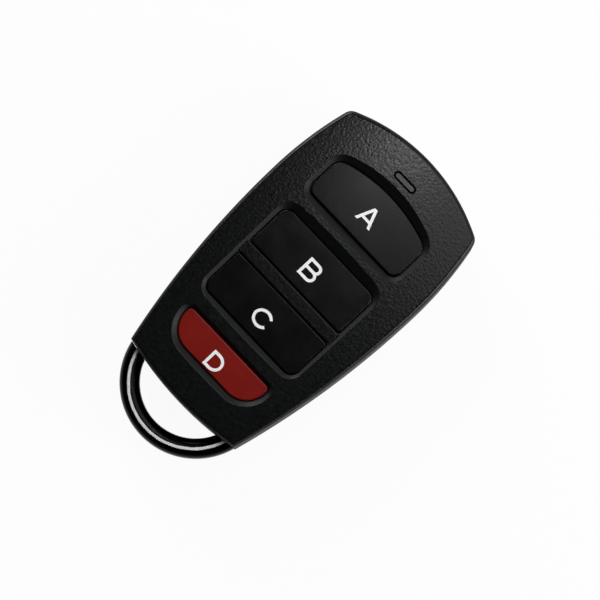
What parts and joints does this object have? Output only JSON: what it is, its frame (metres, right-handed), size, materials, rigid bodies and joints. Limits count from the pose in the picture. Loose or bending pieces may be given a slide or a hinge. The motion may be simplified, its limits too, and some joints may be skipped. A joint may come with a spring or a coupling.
{
  "type": "gate remote control",
  "caption": "Hand-held gate remote control with lettered push keys in bevelled wells, an indicator lamp window and a metal key loop at its tail.",
  "frame": {"origin": "centre of the bounding box's bottom: under the middle of the overall length, on the surface the remote lies on", "axes": "+Y from the key loop to the lamp end, +Z out of the key face, +X to the right of the keys"},
  "size_m": [0.034, 0.066, 0.0126],
  "materials": {
    "case_plastic": "fine moulded grain, black",
    "key_plastic": "smooth satin, black",
    "red_key_plastic": "smooth satin, dark red",
    "dark_chrome": "polished, darkened plating",
    "light_pipe_plastic": "smoky, moulded clear",
    "lamp_resin": "clear resin on a white base",
    "screw_steel": "zinc plated",
    "board_laminate": "green solder mask",
    "tinned_steel": "tinned",
    "cell_steel": "nickel plated",
    "chip_epoxy": "moulded epoxy",
    "ferrite": "sintered ferrite",
    "ceramic": "fired ceramic",
    "copper": "bare copper",
    "switch_plastic": "moulded",
    "plunger_plastic": "moulded"
  },
  "bodies": {
    "root": {"front_shell": "case_plastic", "rear_shell": "case_plastic", "light_pipe": "light_pipe_plastic", "indicator_lamp": "lamp_resin", "case_screws": "screw_steel", "circuit_board": "board_laminate", "switch_terminals": "tinned_steel", "coin_cell": "cell_steel", "battery_clip": "tinned_steel", "battery_contact": "tinned_steel", "encoder_chip": "chip_epoxy", "resonator": "cell_steel", "rf_transistor": "chip_epoxy", "tuning_coil": "ferrite", "chip_resistors": "chip_epoxy", "chip_capacitors": "ceramic", "antenna_loop": "copper", "switch_base_a": "switch_plastic", "snap_dome_a": "tinned_steel", "switch_cover_a": "tinned_steel", "switch_base_b": "switch_plastic", "snap_dome_b": "tinned_steel", "switch_cover_b": "tinned_steel", "switch_base_c": "switch_plastic", "snap_dome_c": "tinned_steel", "switch_cover_c": "tinned_steel", "switch_base_d": "switch_plastic", "snap_dome_d": "tinned_steel", "switch_cover_d": "tinned_steel", "key_loop": "dark_chrome"},
    "key_a": {"key_a": "key_plastic"},
    "plunger_a": {"switch_plunger_a": "plunger_plastic"},
    "key_b": {"key_b": "key_plastic"},
    "plunger_b": {"switch_plunger_b": "plunger_plastic"},
    "key_c": {"key_c": "key_plastic"},
    "plunger_c": {"switch_plunger_c": "plunger_plastic"},
    "key_d": {"key_d": "red_key_plastic"},
    "plunger_d": {"switch_plunger_d": "plunger_plastic"}
  },
  "joints": [
    {"name": "key_a_press", "type": "slide", "parent": "root", "child": "key_a", "axis": [0, 0, -1], "range_m": [0, 0.0003], "stiffness_N_per_m": 6000, "springref_m": -0.0001},
    {"name": "plunger_a_travel", "type": "slide", "parent": "root", "child": "plunger_a", "axis": [0, 0, -1], "range_m": [0, 0.0003], "deforming": ["snap_dome_a"]},
    {"name": "key_b_press", "type": "slide", "parent": "root", "child": "key_b", "axis": [0, 0, -1], "range_m": [0, 0.0003], "stiffness_N_per_m": 6000, "springref_m": -0.0001},
    {"name": "plunger_b_travel", "type": "slide", "parent": "root", "child": "plunger_b", "axis": [0, 0, -1], "range_m": [0, 0.0003], "deforming": ["snap_dome_b"]},
    {"name": "key_c_press", "type": "slide", "parent": "root", "child": "key_c", "axis": [0, 0, -1], "range_m": [0, 0.0003], "stiffness_N_per_m": 6000, "springref_m": -0.0001},
    {"name": "plunger_c_travel", "type": "slide", "parent": "root", "child": "plunger_c", "axis": [0, 0, -1], "range_m": [0, 0.0003], "deforming": ["snap_dome_c"]},
    {"name": "key_d_press", "type": "slide", "parent": "root", "child": "key_d", "axis": [0, 0, -1], "range_m": [0, 0.0003], "stiffness_N_per_m": 6000, "springref_m": -0.0001},
    {"name": "plunger_d_travel", "type": "slide", "parent": "root", "child": "plunger_d", "axis": [0, 0, -1], "range_m": [0, 0.0003], "deforming": ["snap_dome_d"]}
  ],
  "couplings": [
    {"joint": "plunger_a_travel", "follows": "key_a_press", "ratio": 1},
    {"joint": "plunger_b_travel", "follows": "key_b_press", "ratio": 1},
    {"joint": "plunger_c_travel", "follows": "key_c_press", "ratio": 1},
    {"joint": "plunger_d_travel", "follows": "key_d_press", "ratio": 1}
  ]
}
